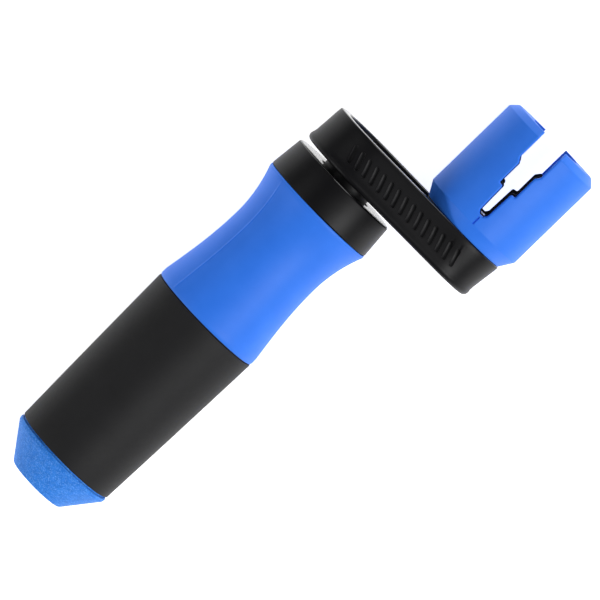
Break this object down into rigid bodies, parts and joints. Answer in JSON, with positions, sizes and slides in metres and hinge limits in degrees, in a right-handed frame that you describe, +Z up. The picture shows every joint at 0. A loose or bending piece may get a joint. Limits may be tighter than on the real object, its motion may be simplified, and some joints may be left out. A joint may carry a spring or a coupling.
{
  "type": "string winder",
  "caption": "Palm-grip string winder: a crank arm spins in the handle on ball bearings and carries a rubber-lined head with stepped slots for tuner buttons",
  "frame": {"origin": "centre of the end cap's flat face, on the handle's axis", "axes": "+Y along the handle's axis towards the head, +X from the handle's axis to the head's axis, +Z up with the winder lying on its side"},
  "size_m": [0.0649, 0.1656, 0.0354],
  "materials": {
    "blue_plastic": "fine satin moulding",
    "cap_rubber": "sandy, mottled texture",
    "grip_rubber": "matte, finely textured",
    "liner_rubber": "smooth matte",
    "black_plastic": "satin, fine spark-eroded grain",
    "nut_nylon": "smooth",
    "bearing_steel": "ground and polished",
    "zinc_steel": "bright zinc plate",
    "aluminium": "turned",
    "brass": "turned"
  },
  "bodies": {
    "handle": {"handle_core": "blue_plastic", "rubber_grip": "grip_rubber", "end_cap": "cap_rubber", "bearing_collar": "black_plastic", "upper_outer_race": "bearing_steel", "lower_outer_race": "bearing_steel", "upper_shields": "bearing_steel", "lower_shields": "bearing_steel", "circlip": "zinc_steel"},
    "crank": {"crank_arm": "black_plastic", "axle_bolt": "zinc_steel", "bolt_washer": "zinc_steel", "upper_inner_race": "bearing_steel", "lower_inner_race": "bearing_steel", "inner_spacer": "aluminium", "nut_washer": "zinc_steel", "lock_nut": "zinc_steel", "nut_insert": "nut_nylon", "head_shell": "blue_plastic", "head_liner": "liner_rubber", "head_screw": "zinc_steel", "head_screw_washer": "zinc_steel", "arm_insert": "brass"},
    "upper_cage_set": {"upper_cage": "brass", "upper_balls": "bearing_steel"},
    "lower_cage_set": {"lower_cage": "brass", "lower_balls": "bearing_steel"}
  },
  "joints": [
    {"name": "crank_spin", "type": "hinge", "parent": "handle", "child": "crank", "pos_m": [0, 0.118, 0], "axis": [0, -1, 0], "continuous": true},
    {"name": "upper_cage_spin", "type": "hinge", "parent": "handle", "child": "upper_cage_set", "pos_m": [0, 0.1125, 0], "axis": [0, -1, 0], "continuous": true},
    {"name": "lower_cage_spin", "type": "hinge", "parent": "handle", "child": "lower_cage_set", "pos_m": [0, 0.069, 0], "axis": [0, -1, 0], "continuous": true}
  ],
  "couplings": [
    {"joint": "upper_cage_spin", "follows": "crank_spin", "ratio": 0.36},
    {"joint": "lower_cage_spin", "follows": "crank_spin", "ratio": 0.36}
  ]
}
